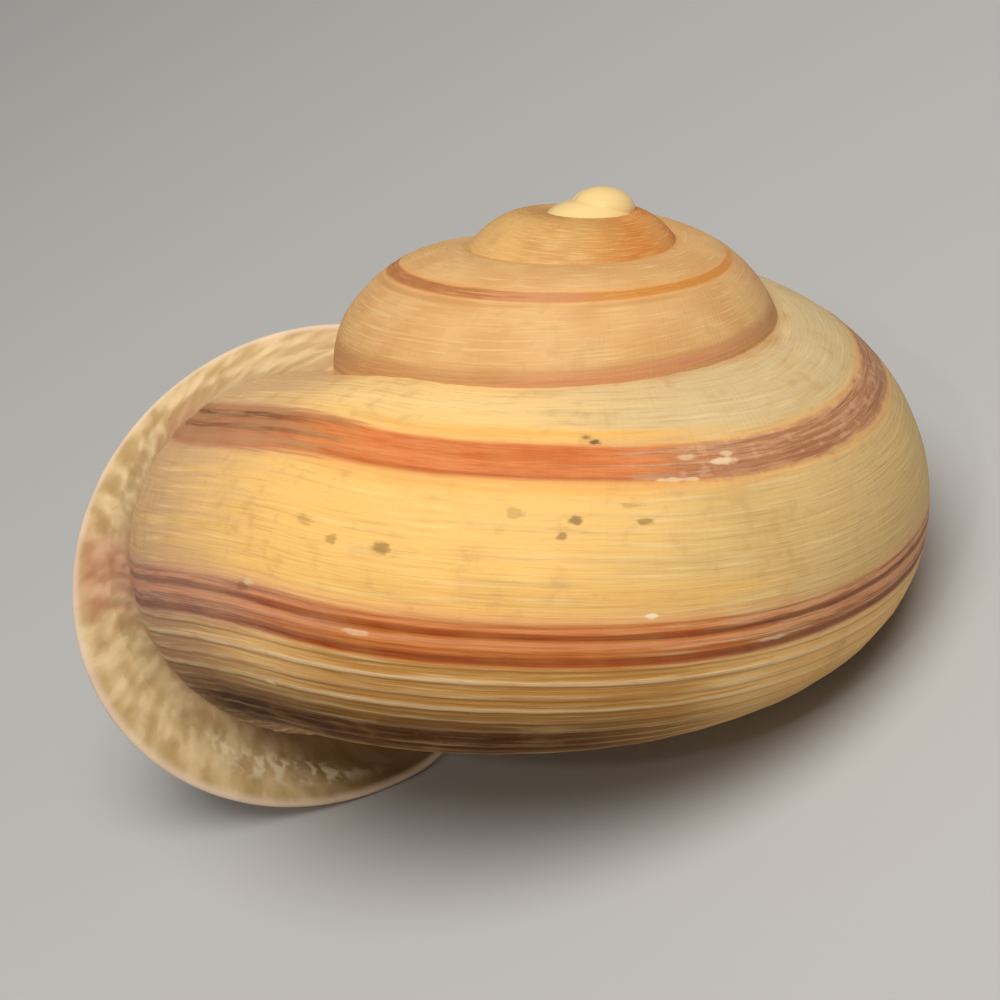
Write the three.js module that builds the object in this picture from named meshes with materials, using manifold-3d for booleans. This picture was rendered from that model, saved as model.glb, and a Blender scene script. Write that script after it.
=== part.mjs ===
// A land snail's shell: a banded, right-handed coil with an open umbilicus and a round mouth
// whose lip turns outward. It is grown in one piece, so it is one solid.
// Units are millimetres. The coil is built around its own axis, with the axis upright and the
// tip of the spire near the origin, and is then leaned over into the pose in which it rests:
// on the lower edge of the lip and on the base of the last whorl.

import * as THREE from 'three';
import { mergeVertices } from 'three/addons/utils/BufferGeometryUtils.js';
import Module from 'manifold-3d';

const wasm = await Module();
wasm.setup();

const TURN = 2 * Math.PI;
const radians = THREE.MathUtils.degToRad;

// Coil: distance of the tube's middle from the axis, and its depth below the tip.
// Growth is the angle wound back from the mouth, so it is zero at the mouth.
const MOUTH_AZIMUTH = radians(-185.7);
const COIL_RADIUS = 6.55;
const LATE_DECAY = 0.0505;
const EARLY_DECAY = 0.116;
const DECAY_CHANGE = 4.1;
const END_SWELL = 0.1;
const END_SWELL_GROWTH = radians(90);
const EARLY_SHRINK = 0.16;
const EARLY_SHRINK_FROM = radians(725);
const EARLY_SHRINK_TO = radians(1085);
const COIL_DEPTH = 9.78;
const DEPTH_DECAY = 0.0947;

// Cross section of the tube: an upright oval that leans its top toward the axis.
const TUBE_RATIO = 0.64;
const TUBE_RATIO_GAIN = 0.012;
const OVAL_RATIO = 1.13;
const OVAL_RATIO_GAIN = 0.015;
const OVAL_LEAN = radians(31.8);
const FLAT_BASE = 0.76;
const FLAT_BASE_FROM = radians(200);
const FLAT_BASE_TO = radians(340);

// Mouth: a circle on an oblique plane, which the last part of the tube runs into.
const MOUTH_COIL_RADIUS = 7.14;
const MOUTH_DEPTH = 10.86;
const MOUTH_RADIUS = 4.97;
const MOUTH_OBLIQUITY = radians(12);
const MOUTH_TWIST = radians(14);
const MOUTH_BLEND = radians(55);

// Lip: a flare from the mouth circle to an oval rim that sits lower and further out. Each row
// of its profile holds a share of the way out to the rim, a distance ahead of the mouth's plane,
// and a margin kept above the earlier whorl, as a share of that whorl's size.
const RIM_SHIFT_OUT = 0.05;
const RIM_SHIFT_DOWN = 0.5;
const RIM_HALF_LENGTH = 7.13;
const RIM_HALF_WIDTH = 6.22;
const RIM_SLANT = radians(-45);
const LIP_BACK = [[0.03, 0.2, -0.06], [0.14, 0.38, -0.06], [0.5, 0.46, -0.06], [0.86, 0.42, -0.06]];
const LIP_RIM = [[1, 0.5, -0.05], [1, 0.74, -0.03], [0.88, 0.92, 0]];
const LIP_FRONT = [[0.5, 0.98, 0.04], [0.12, 0.86, 0.08]];
const THROAT_INSET = 0.3;
const THROAT_FORWARD = 0.5;
const THROAT_MARGIN = 0.13;
const LIP_NARROWING = 0.5;
const LIP_NARROW_FROM = 0.55;
const LIP_FADE_DEPTH = 0.65;

// Wall, and the thin layer that the mouth lays on the whorl before it.
const WALL_RATIO = 0.06;
const CALLUS_THICKNESS = 0.12;
const CALLUS_RIDGE = 0.2;
const CALLUS_RIDGE_SPREAD = radians(15);
const PRESS_SOFTNESS = 0.04;

// Extent and fineness of the lofts.
const APEX_GROWTH = radians(1470);
const APEX_ROUNDING = radians(80);
const APEX_TIP = 0.02;
const NUCLEUS_RADIUS = 0.8;
const NUCLEUS_HALF_HEIGHT = 0.55;
const NUCLEUS_SHIFT = 0.18;
const NUCLEUS_DEPTH = 0.885;
const NUCLEUS_AROUND = 16;
const AROUND = 28;
const OUTER_RUN = radians(300);
const OUTER_STEPS = [38, 30, 24, 20, 16];
const HOLLOW_RUN = radians(250);
const HOLLOW_STEPS = [31, 16];
const HOLLOW_AROUND = 16;
const HOLLOW_AHEAD = 2.2;
const HOLLOW_AHEAD_STEPS = 4;
const COAT_AHEAD = radians(50);
const COAT_STEPS = 26;
const RUN_OVERLAP = radians(4);
const RUN_SHRINK = 0.01;
const MERGE_DISTANCE = 1e-5;

// Rest: the side of the coil that sinks to the table, how far the coil leans to that side, and
// the turn that then brings the back of the last whorl to face along minus Y.
const SINKING_SIDE = radians(25);
const LEAN = radians(30);
const REST_TURN = radians(16.9);

const upAxis = new THREE.Vector3(0, 0, 1);
const mouthOut = new THREE.Vector3(Math.cos(MOUTH_AZIMUTH), Math.sin(MOUTH_AZIMUTH), 0);
const mouthUp = upAxis.clone();
const mouthForward = new THREE.Vector3().crossVectors(mouthOut, upAxis);
const mouthSideways = mouthOut.clone();
mouthUp.applyAxisAngle(mouthSideways, MOUTH_OBLIQUITY);
mouthForward.applyAxisAngle(mouthSideways, MOUTH_OBLIQUITY);

function coilShrink(growth) {
  const settled = growth - DECAY_CHANGE * (1 - Math.exp(-growth / DECAY_CHANGE));
  const decay = LATE_DECAY * growth + (EARLY_DECAY - LATE_DECAY) * settled;
  const nearMouth = Math.max(0, 1 - growth / END_SWELL_GROWTH);
  const early = THREE.MathUtils.smoothstep(growth, EARLY_SHRINK_FROM, EARLY_SHRINK_TO);
  return Math.exp(-decay) * (1 + END_SWELL * nearMouth ** 2) * (1 - EARLY_SHRINK * early);
}

// The oval section at one growth: where its middle is and how large it is.
function section(growth) {
  const radius = COIL_RADIUS * coilShrink(growth);
  const halfWidth = radius * (TUBE_RATIO + TUBE_RATIO_GAIN * growth);
  const halfHeight = halfWidth * (OVAL_RATIO + OVAL_RATIO_GAIN * growth);
  const flattened = THREE.MathUtils.smoothstep(growth, FLAT_BASE_FROM, FLAT_BASE_TO);
  const halfDepth = halfHeight * (1 + (FLAT_BASE - 1) * flattened);
  const height = -COIL_DEPTH * Math.exp(-DEPTH_DECAY * growth);
  return { radius, height, halfWidth, halfHeight, halfDepth };
}

function wall(growth) {
  return WALL_RATIO * section(growth).radius;
}

// A point of the tube at a growth and an angle round the section, zero being outermost.
function tubePoint(growth, angle, inset, scale = 1) {
  const oval = section(growth);
  const tall = Math.sin(angle) > 0 ? oval.halfHeight : oval.halfDepth;
  const across = (oval.halfWidth - inset) * scale * Math.cos(angle);
  const along = (tall - inset) * scale * Math.sin(angle);
  const reach = oval.radius + across * Math.cos(OVAL_LEAN) - along * Math.sin(OVAL_LEAN);
  const height = oval.height + across * Math.sin(OVAL_LEAN) + along * Math.cos(OVAL_LEAN);
  const azimuth = MOUTH_AZIMUTH + growth;
  return new THREE.Vector3(reach * Math.cos(azimuth), reach * Math.sin(azimuth), height);
}

// A point of the mouth's plane, at a place across it and ahead of it.
function mouthPlanePoint(out, up, forward) {
  return new THREE.Vector3(0, 0, -MOUTH_DEPTH)
    .addScaledVector(mouthOut, MOUTH_COIL_RADIUS + out)
    .addScaledVector(mouthUp, up)
    .addScaledVector(mouthForward, forward);
}

function mouthPoint(angle, inset, forward) {
  const turned = angle + MOUTH_TWIST;
  const radius = MOUTH_RADIUS - inset;
  return mouthPlanePoint(radius * Math.cos(turned), radius * Math.sin(turned), forward);
}

function rimPoint(angle, forward) {
  const turned = angle + MOUTH_TWIST - RIM_SLANT;
  const oval = new THREE.Vector2(RIM_HALF_LENGTH * Math.cos(turned), RIM_HALF_WIDTH * Math.sin(turned));
  oval.rotateAround(new THREE.Vector2(), RIM_SLANT);
  return mouthPlanePoint(oval.x + RIM_SHIFT_OUT, oval.y - RIM_SHIFT_DOWN, forward);
}

// The tube, run into the mouth circle over its last stretch.
function whorlPoint(growth, angle, inset) {
  const blend = 1 - THREE.MathUtils.smoothstep(growth, 0, MOUTH_BLEND);
  const tube = tubePoint(growth, angle, inset);
  if (blend === 0) return tube;
  const carried = mouthPoint(angle, inset, 0)
    .multiplyScalar(coilShrink(growth) / coilShrink(0))
    .applyAxisAngle(upAxis, growth);
  return tube.lerp(carried, blend);
}

// Where a point lies on the section of the whorl one turn further in. Its depth is under one
// inside that whorl, and one on its surface.
function onEarlierWhorl(point, growth) {
  const reach = Math.hypot(point.x, point.y);
  const azimuth = Math.atan2(point.y, point.x);
  const turns = Math.round((growth + MOUTH_AZIMUTH - azimuth) / TURN);
  const oval = section(azimuth + turns * TURN - MOUTH_AZIMUTH + TURN);
  const out = reach - oval.radius;
  const up = point.z - oval.height;
  const across = out * Math.cos(OVAL_LEAN) + up * Math.sin(OVAL_LEAN);
  const along = up * Math.cos(OVAL_LEAN) - out * Math.sin(OVAL_LEAN);
  const tall = along > 0 ? oval.halfHeight : oval.halfDepth;
  return { reach, oval, out, up, depth: Math.hypot(across / oval.halfWidth, along / tall) };
}

// Moves a point out of the whorl one turn further in, to a margin above its surface.
function clearOfEarlierWhorl(point, growth, margin) {
  const { reach, oval, out, up, depth } = onEarlierWhorl(point, growth);
  const surface = 1 + margin;
  const kept = (depth + surface + Math.hypot(depth - surface, PRESS_SOFTNESS)) / 2;
  const stretch = kept / depth;
  const moved = (oval.radius + out * stretch) / reach;
  return new THREE.Vector3(point.x * moved, point.y * moved, oval.height + up * stretch);
}

function ring(count, pointAt) {
  return Array.from({ length: count }, (_, i) => pointAt((i / count) * TURN));
}

function spaced(from, to, steps) {
  return Array.from({ length: steps + 1 }, (_, i) => from + ((to - from) * i) / steps);
}

// Joins a run of rings into a closed solid, with a fan over each end.
function loft(rings) {
  const count = rings[0].length;
  const middle = (points) => points
    .reduce((sum, point) => sum.add(point), new THREE.Vector3())
    .divideScalar(points.length);
  const points = [...rings.flat(), middle(rings[0]), middle(rings.at(-1))];
  const first = rings.length * count;
  const faces = [];
  for (let i = 0; i < count; i += 1) {
    const next = (i + 1) % count;
    const end = (rings.length - 1) * count;
    faces.push(first, next, i);
    faces.push(first + 1, end + i, end + next);
    for (let row = 0; row < end; row += count) {
      faces.push(row + i, row + next, row + count + i);
      faces.push(row + next, row + count + next, row + count + i);
    }
  }
  const geometry = new THREE.BufferGeometry().setFromPoints(points);
  geometry.setIndex(faces);
  return toSolid(geometry);
}

function toSolid(geometry) {
  const places = new THREE.BufferGeometry();
  places.setAttribute('position', geometry.attributes.position);
  places.setIndex(geometry.index);
  const merged = mergeVertices(places, MERGE_DISTANCE);
  return new wasm.Manifold(new wasm.Mesh({
    numProp: 3,
    vertProperties: new Float32Array(merged.attributes.position.array),
    triVerts: new Uint32Array(merged.index.array),
  }));
}

function toGeometry(solid) {
  const mesh = solid.getMesh();
  const geometry = new THREE.BufferGeometry();
  geometry.setAttribute('position', new THREE.BufferAttribute(mesh.vertProperties, 3));
  geometry.setIndex(new THREE.BufferAttribute(mesh.triVerts, 1));
  return geometry;
}

// A run of the tube between two growths. A run shorter than a turn can't cross itself.
function tubeRun(from, to, steps, count, inset) {
  return spaced(to, from, steps).map((growth) => (
    ring(count, (angle) => whorlPoint(growth, angle, inset(growth)))
  ));
}

// The first grown run, rounded off to close the tip of the spire.
function apexRun(from, steps, inset) {
  return spaced(APEX_GROWTH, from, steps).map((growth) => {
    const toEnd = Math.max(0, growth - (APEX_GROWTH - APEX_ROUNDING)) / APEX_ROUNDING;
    const scale = Math.sqrt(Math.max(APEX_TIP, 1 - toEnd ** 2));
    return ring(AROUND, (angle) => tubePoint(growth, angle, inset, scale));
  });
}

// How far the lip flares at an angle: less over the umbilicus, and not at all where the mouth
// lies against the earlier whorl.
function flareShare(angle) {
  const inward = -Math.cos(angle + MOUTH_TWIST);
  const narrowed = 1 - LIP_NARROWING * THREE.MathUtils.smoothstep(inward, LIP_NARROW_FROM, 1);
  const { depth } = onEarlierWhorl(mouthPoint(angle, 0, 0), 0);
  return narrowed * THREE.MathUtils.smoothstep(depth, LIP_FADE_DEPTH, 1);
}

// The lip's back, rim and front, and the throat where it turns into the hollow.
function lipRings() {
  const flare = [...LIP_BACK, ...LIP_RIM, ...LIP_FRONT].map(([share, forward, margin]) => (
    ring(AROUND, (angle) => {
      const base = mouthPoint(angle, 0, forward);
      const point = base.lerp(rimPoint(angle, forward), share * flareShare(angle));
      return clearOfEarlierWhorl(point, 0, margin);
    })
  ));
  const throat = ring(AROUND, (angle) => (
    clearOfEarlierWhorl(mouthPoint(angle, THROAT_INSET, THROAT_FORWARD), 0, THROAT_MARGIN)
  ));
  return [...flare, throat];
}

// The outside. Each run toward the tip is a hair smaller and starts a little inside the one
// after it, so that no two faces coincide.
function outerSolid() {
  const runs = OUTER_STEPS.map((steps, number) => {
    const from = number * OUTER_RUN - (number > 0 ? RUN_OVERLAP : 0);
    if (number === OUTER_STEPS.length - 1) return apexRun(from, steps, number * RUN_SHRINK);
    return tubeRun(from, (number + 1) * OUTER_RUN, steps, AROUND, () => number * RUN_SHRINK);
  });
  runs[0].push(...lipRings());
  return [...runs.map(loft), nucleus()].reduce((all, piece) => all.add(piece));
}

// The first grown part of the shell, a low dome that closes the spire over the coil's axis.
function nucleus() {
  const bead = new THREE.SphereGeometry(NUCLEUS_RADIUS, NUCLEUS_AROUND, NUCLEUS_AROUND / 2);
  bead.rotateX(Math.PI / 2);
  bead.scale(1, 1, NUCLEUS_HALF_HEIGHT / NUCLEUS_RADIUS);
  bead.translate(NUCLEUS_SHIFT, 0, -NUCLEUS_DEPTH);
  return toSolid(bead);
}

// The layer laid on a whorl by the one around it, thickest in a ridge across the mouth.
function callus(growth) {
  const fromMouth = (growth - TURN) / CALLUS_RIDGE_SPREAD;
  return CALLUS_THICKNESS + CALLUS_RIDGE * Math.exp(-(fromMouth ** 2));
}

// The hollow that the animal lived in, open at the mouth. Each run of it keeps clear of the
// whorl one turn further in, with that whorl's coat.
function hollowSolid() {
  const runs = HOLLOW_STEPS.map((steps, number) => {
    const from = number * HOLLOW_RUN - (number > 0 ? RUN_OVERLAP : 0);
    const to = (number + 1) * HOLLOW_RUN;
    const rings = tubeRun(from, to, steps, HOLLOW_AROUND, (growth) => (
      wall(growth) + number * RUN_SHRINK
    ));
    if (number === 0) rings.push(...hollowAhead());
    const coat = tubeRun(
      from + TURN - COAT_AHEAD, to + TURN + RUN_OVERLAP, COAT_STEPS, HOLLOW_AROUND,
      (growth) => -callus(growth),
    );
    return loft(rings).subtract(loft(coat));
  });
  return runs.reduce((all, run) => all.add(run));
}

// The hollow's last stretch, which runs out through the mouth's plane.
function hollowAhead() {
  return spaced(0, HOLLOW_AHEAD, HOLLOW_AHEAD_STEPS).slice(1).map((forward) => (
    ring(HOLLOW_AROUND, (angle) => mouthPoint(angle, wall(0), forward))
  ));
}

// Leans the coil into its rest pose and sets it on the ground over the origin.
function setDown(geometry) {
  geometry.rotateZ(-SINKING_SIDE).rotateY(LEAN).rotateZ(REST_TURN);
  geometry.computeBoundingBox();
  const middle = geometry.boundingBox.getCenter(new THREE.Vector3());
  geometry.translate(-middle.x, -middle.y, -geometry.boundingBox.min.z);
}

const shell = new THREE.Mesh(
  toGeometry(outerSolid().subtract(hollowSolid())),
  new THREE.MeshStandardMaterial({ color: 0xd9b370, roughness: 0.45, metalness: 0 }),
);
shell.name = 'shell';
setDown(shell.geometry);

const group = new THREE.Group();
group.add(shell);

export default group;
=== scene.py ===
import math

import bpy
import numpy as np
from mathutils import Matrix, Vector


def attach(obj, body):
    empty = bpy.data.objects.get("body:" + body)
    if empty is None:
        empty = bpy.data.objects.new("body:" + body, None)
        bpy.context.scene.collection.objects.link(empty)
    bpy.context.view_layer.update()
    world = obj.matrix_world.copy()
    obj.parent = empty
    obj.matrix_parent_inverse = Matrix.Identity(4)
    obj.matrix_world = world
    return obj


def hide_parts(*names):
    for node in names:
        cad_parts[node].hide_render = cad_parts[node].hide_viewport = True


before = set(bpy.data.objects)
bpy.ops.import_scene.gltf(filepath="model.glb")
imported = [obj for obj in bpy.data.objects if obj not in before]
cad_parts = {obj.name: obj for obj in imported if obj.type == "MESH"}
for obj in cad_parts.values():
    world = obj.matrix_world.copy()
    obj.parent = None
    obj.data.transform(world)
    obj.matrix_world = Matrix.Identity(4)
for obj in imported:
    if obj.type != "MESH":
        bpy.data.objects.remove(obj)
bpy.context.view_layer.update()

MM = 0.001
TURN = 2 * math.pi
rad = math.radians

# Coil, in millimetres and radians, as in the CAD source
MOUTH_AZIMUTH = rad(-185.7)
COIL_RADIUS = 6.55
LATE_DECAY = 0.0505
EARLY_DECAY = 0.116
DECAY_CHANGE = 4.1
END_SWELL = 0.1
END_SWELL_GROWTH = rad(90)
EARLY_SHRINK = 0.16
EARLY_SHRINK_FROM = rad(725)
EARLY_SHRINK_TO = rad(1085)
COIL_DEPTH = 9.78
DEPTH_DECAY = 0.0947
TUBE_RATIO = 0.64
TUBE_RATIO_GAIN = 0.012
OVAL_RATIO = 1.13
OVAL_RATIO_GAIN = 0.015
OVAL_LEAN = rad(31.8)
FLAT_BASE = 0.76
FLAT_BASE_FROM = rad(200)
FLAT_BASE_TO = rad(340)

# Mouth and lip
MOUTH_COIL_RADIUS = 7.14
MOUTH_DEPTH = 10.86
MOUTH_RADIUS = 4.97
MOUTH_OBLIQUITY = rad(12)
MOUTH_TWIST = rad(14)
MOUTH_BLEND = rad(55)
RIM_SHIFT_OUT = 0.05
RIM_SHIFT_DOWN = 0.5
RIM_HALF_LENGTH = 7.13
RIM_HALF_WIDTH = 6.22
RIM_SLANT = rad(-45)
LIP_NARROWING = 0.5
LIP_NARROW_FROM = 0.55
LIP_FADE_DEPTH = 0.65
# Each row: share of the way out to the rim, inset from the mouth circle, distance ahead of the
# mouth's plane, and margin kept above the earlier whorl
LIP_PROFILE = [
    (0.35, 0.0, 0.00, -0.06),
    (0.45, 0.0, 0.10, -0.06),
    (0.56, 0.0, 0.20, -0.06),
    (0.69, 0.0, 0.30, -0.06),
    (0.84, 0.0, 0.39, -0.06),
    (1.00, 0.0, 0.50, -0.05),
    (1.00, 0.0, 0.74, -0.03),
    (0.88, 0.0, 0.92, 0.00),
    (0.50, 0.0, 0.98, 0.04),
    (0.12, 0.0, 0.86, 0.08),
    (0.00, 0.3, 0.50, 0.13),
]
LIP_ROWS = 40

# Wall and callus
WALL_RATIO = 0.06
CALLUS_THICKNESS = 0.12
CALLUS_RIDGE = 0.2
CALLUS_RIDGE_SPREAD = rad(15)
PRESS_SOFTNESS = 0.04
APEX_GROWTH = rad(1470)
APEX_ROUNDING = rad(80)
APEX_TIP = 0.02
NUCLEUS_RADIUS = 0.8
NUCLEUS_HALF_HEIGHT = 0.55
NUCLEUS_SHIFT = 0.18
NUCLEUS_DEPTH = 0.885
NUCLEUS_ROWS = 40
NUCLEUS_AROUND = 80

# Where the coil's own axis and tip lie in the resting object
SINKING_SIDE = rad(25)
LEAN = rad(30)
REST_TURN = rad(16.9)
COIL_ORIGIN = (6.9968, 2.2297, 12.7145)

# Runs of the tube from the mouth back to the tip: end growth, rings, points around. Each laps
# over the one before and is a little thinner, and the first has closer rings near the mouth
OUTER_RUNS = [(rad(276), 128, 336), (rad(630), 112, 180), (rad(985), 96, 130),
              (rad(1340), 80, 96), (APEX_GROWTH, 30, 64)]
HOLLOW_RUNS = [(rad(250), 110, 120), (rad(500), 84, 96)]
FIRST_CLOSING = 1.25
RUN_OVERLAP = rad(2)
RUN_SHRINK = 0.002
COAT_AHEAD = rad(50)
COAT_BEHIND = rad(4)
COAT_RINGS = 90
COAT_AROUND = 96
HOLLOW_AHEAD = 2.2
HOLLOW_AHEAD_RINGS = 12
# Points round the outside: closest over the cords of the base, widest where a whorl covers them
SPREAD_ANGLES = (-180, -150, -25, 60, 130, 180)
SPREAD_SHARES = (0, 0.06, 0.56, 0.82, 0.92, 1)

# Stored normals: how far one may point against its face before it is turned over, the length below
# which the face's own is used, and a length that only guards a division
FLIPPED = -0.3
MISSING = 1e-6
TINY = 1e-12

# Where the middle of each colour band runs: degrees of growth, degrees round the section
UPPER_BAND = [(0, 31), (25, 29), (50, 23), (90, 20.5), (135, 16), (180, 21.5), (270, 26),
              (390, 28), (460, 31.5), (525, 35), (1470, 35)]
LOWER_BAND = [(0, -24), (25, -28), (50, -32.5), (90, -35), (130, -38.3), (180, -36), (270, -30),
              (400, -20.5), (450, -14.5), (520, -3), (640, 4), (1470, 4)]
UPPER_TRACE = 20
LOWER_TRACE = -35

# Relief of the outside, in millimetres and degrees: spiral cords on the base, every other one
# lower, with finer threads between them, and growth wrinkles all over
CORD_SPACING = 5.55
CORD_START = -42.8
CORD_SWAY = 0.12
CORD_SWAY_RATE = 0.05
CORD_HEIGHT = 0.03
CORD_MEAN = 0.75
CORD_ALTERNATION = 0.25
CORD_SHARPNESS = 3
THREAD_SHARE = 0.35
THREADS_PER_CORD = 3
THREAD_SHARPNESS = 2
CORDS_BELOW = 39, 46, 150, 185
CORDS_BEHIND_MOUTH = 4, 11
WRINKLE_HEIGHT = 0.006
MOUTH_WRINKLE_HEIGHT = 0.01
MOUTH_WRINKLES_END = 5, 60
WRINKLE_RATE = 0.82
WRINKLE_BUNCHING = 2
WRINKLE_BUNCHING_RATE = 0.09
SLOW_WRINKLE_SHARE = 0.6
SLOW_WRINKLE_RATE = 0.47
SLOW_WRINKLE_START = 1

# Folds that fan out across the lip, in patches of broader and of finer ones. Each kind: degrees
# between folds, how far they sway, how quickly, and where they start
FOLD_HEIGHT = 0.009
LOW_FOLD_HEIGHT = 0.03
FRONT_FOLD_SHARE = 0.4
FOLD_FAN = 0.2
FOLD_MIDDLE = -30
BROAD_FOLDS = 4.6, 0.7, 11, 0
FINE_FOLDS = 2.9, 0.5, 7, 0.3
FOLD_PATCHES = (5.3, 9), (3.1, -14)
# Where they rise and fall: twice along the lip coordinate, then in degrees below the outermost
# point of the section
BACK_FOLDS = 0.02, 0.25, 0.8, 0.98
FRONT_FOLDS = 1.1, 1.4, 1.6, 1.9
LOW_FOLDS = 62, 92, 118, 140

# The end of the last whorl turns out over a few degrees of growth, part of the way to the rim. The
# lip coordinate is 0 where that starts, 0.5 in the mouth's plane, 1 at the rim, 2 in the throat
FLARE_GROWTH = 9.6
FLARE_SHARE = 0.35
FLARE_EASE = 3
LIP_EASE = 1.4
LIP_AT_MOUTH = 0.5
RELIEF_END = 0.7

# What the side attribute says: the outside, the hollow, or the earlier whorl's coat inside it
OUTSIDE = 0.0
HOLLOW = 1.0
COAT = 2.0

# Camera, placed in millimetres
CAMERA_AT = (7.029, -55.61, 35.526)
CAMERA_AZIMUTH = rad(6.082)
CAMERA_ELEVATION = rad(27.266)
CAMERA_ROLL = rad(28.290)
CAMERA_LENS = 87.95
CAMERA_SENSOR = 36
CAMERA_CLIP = 0.001, 5

# Lights and floor, in metres and watts. Each light: place, width and power
KEY_LIGHT = (0.03, -0.11, 0.24), 0.20, 0.68
GLINT_LIGHT = (-0.05, -0.16, 0.16), 0.012, 0.03
LIGHTS_AIM = Vector((0, 0, 0.006))
SKY_COLOUR = (1.0, 0.96, 0.9, 1)
SKY_STRENGTH = 0.20
FLOOR_HALF = 1
FLOOR_COLOUR = (0.5, 0.49, 0.47, 1)
FLOOR_ROUGHNESS = 0.9


def smoothstep(x, low, high):
    t = np.clip((x - low) / (high - low), 0, 1)
    return t * t * (3 - 2 * t)


def hill(x, start, full, fading, gone):
    """Rises from zero to one between the first two values and falls between the last two."""
    return smoothstep(x, start, full) * (1 - smoothstep(x, fading, gone))


def coil_shrink(g):
    settled = g - DECAY_CHANGE * (1 - np.exp(-g / DECAY_CHANGE))
    decay = LATE_DECAY * g + (EARLY_DECAY - LATE_DECAY) * settled
    near_mouth = np.maximum(0, 1 - g / END_SWELL_GROWTH)
    early = smoothstep(g, EARLY_SHRINK_FROM, EARLY_SHRINK_TO)
    return np.exp(-decay) * (1 + END_SWELL * near_mouth ** 2) * (1 - EARLY_SHRINK * early)


def section(g):
    radius = COIL_RADIUS * coil_shrink(g)
    half_width = radius * (TUBE_RATIO + TUBE_RATIO_GAIN * g)
    half_height = half_width * (OVAL_RATIO + OVAL_RATIO_GAIN * g)
    flattened = smoothstep(g, FLAT_BASE_FROM, FLAT_BASE_TO)
    half_depth = half_height * (1 + (FLAT_BASE - 1) * flattened)
    height = -COIL_DEPTH * np.exp(-DEPTH_DECAY * g)
    return radius, height, half_width, half_height, half_depth


def wall(g):
    return WALL_RATIO * section(g)[0]


def stack(x, y, z):
    return np.stack(np.broadcast_arrays(x, y, z), axis=-1)


def tube_points(g, a, inset, scale=1.0):
    radius, height, half_width, half_height, half_depth = section(g)
    tall = np.where(np.sin(a) > 0, half_height, half_depth)
    across = (half_width - inset) * scale * np.cos(a)
    along = (tall - inset) * scale * np.sin(a)
    reach = radius + across * math.cos(OVAL_LEAN) - along * math.sin(OVAL_LEAN)
    z = height + across * math.sin(OVAL_LEAN) + along * math.cos(OVAL_LEAN)
    azimuth = MOUTH_AZIMUTH + g
    return stack(reach * np.cos(azimuth), reach * np.sin(azimuth), z)


def turned(vector, axis, angle):
    return np.array(Matrix.Rotation(angle, 3, Vector(axis)) @ Vector(vector))


MOUTH_OUT = np.array([math.cos(MOUTH_AZIMUTH), math.sin(MOUTH_AZIMUTH), 0.0])
UP = np.array([0.0, 0.0, 1.0])
MOUTH_UP = turned(UP, MOUTH_OUT, MOUTH_OBLIQUITY)
MOUTH_FORWARD = turned(np.cross(MOUTH_OUT, UP), MOUTH_OUT, MOUTH_OBLIQUITY)


def mouth_plane(out, up, forward):
    parts = [(MOUTH_COIL_RADIUS + out, MOUTH_OUT), (up, MOUTH_UP), (forward, MOUTH_FORWARD)]
    total = np.array([0, 0, -MOUTH_DEPTH])
    for amount, axis in parts:
        total = total + np.asarray(amount)[..., None] * axis
    return total


def mouth_points(a, inset, forward):
    angle = a + MOUTH_TWIST
    radius = MOUTH_RADIUS - inset
    out, up, ahead = np.broadcast_arrays(radius * np.cos(angle), radius * np.sin(angle), forward)
    return mouth_plane(out, up, ahead)


def rim_points(a, forward):
    angle = a + MOUTH_TWIST - RIM_SLANT
    x = RIM_HALF_LENGTH * np.cos(angle)
    y = RIM_HALF_WIDTH * np.sin(angle)
    out = x * math.cos(RIM_SLANT) - y * math.sin(RIM_SLANT) + RIM_SHIFT_OUT
    up = x * math.sin(RIM_SLANT) + y * math.cos(RIM_SLANT) - RIM_SHIFT_DOWN
    return mouth_plane(*np.broadcast_arrays(out, up, forward))


def turn_about_axis(points, angle):
    c, s = np.cos(angle), np.sin(angle)
    x, y, z = points[..., 0], points[..., 1], points[..., 2]
    return stack(x * c - y * s, x * s + y * c, z)


def whorl_points(g, a, inset):
    blend = 1 - smoothstep(g, 0, MOUTH_BLEND)
    tube = tube_points(g, a, inset)
    shrink = coil_shrink(g) / coil_shrink(0)
    carried = turn_about_axis(mouth_points(a, inset, 0.0 * g) * np.asarray(shrink)[..., None], g)
    return tube + (carried - tube) * np.asarray(blend)[..., None]


def on_earlier_whorl(points, g):
    x, y, z = points[..., 0], points[..., 1], points[..., 2]
    reach = np.hypot(x, y)
    azimuth = np.arctan2(y, x)
    turns = np.round((g + MOUTH_AZIMUTH - azimuth) / TURN)
    radius, height, half_width, half_height, half_depth = section(
        azimuth + turns * TURN - MOUTH_AZIMUTH + TURN)
    out, up = reach - radius, z - height
    across = out * math.cos(OVAL_LEAN) + up * math.sin(OVAL_LEAN)
    along = up * math.cos(OVAL_LEAN) - out * math.sin(OVAL_LEAN)
    tall = np.where(along > 0, half_height, half_depth)
    return reach, radius, height, out, up, np.hypot(across / half_width, along / tall)


def clear_of_earlier_whorl(points, g, margin):
    reach, radius, height, out, up, depth = on_earlier_whorl(points, g)
    surface = 1 + margin
    kept = (depth + surface + np.hypot(depth - surface, PRESS_SOFTNESS)) / 2
    stretch = kept / depth
    moved = (radius + out * stretch) / reach
    return stack(points[..., 0] * moved, points[..., 1] * moved, height + up * stretch)


def flare_share(a):
    narrowed = 1 - LIP_NARROWING * smoothstep(-np.cos(a + MOUTH_TWIST), LIP_NARROW_FROM, 1)
    depth = on_earlier_whorl(mouth_points(a, 0.0, 0.0), 0.0)[-1]
    return narrowed * smoothstep(depth, LIP_FADE_DEPTH, 1)


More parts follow.
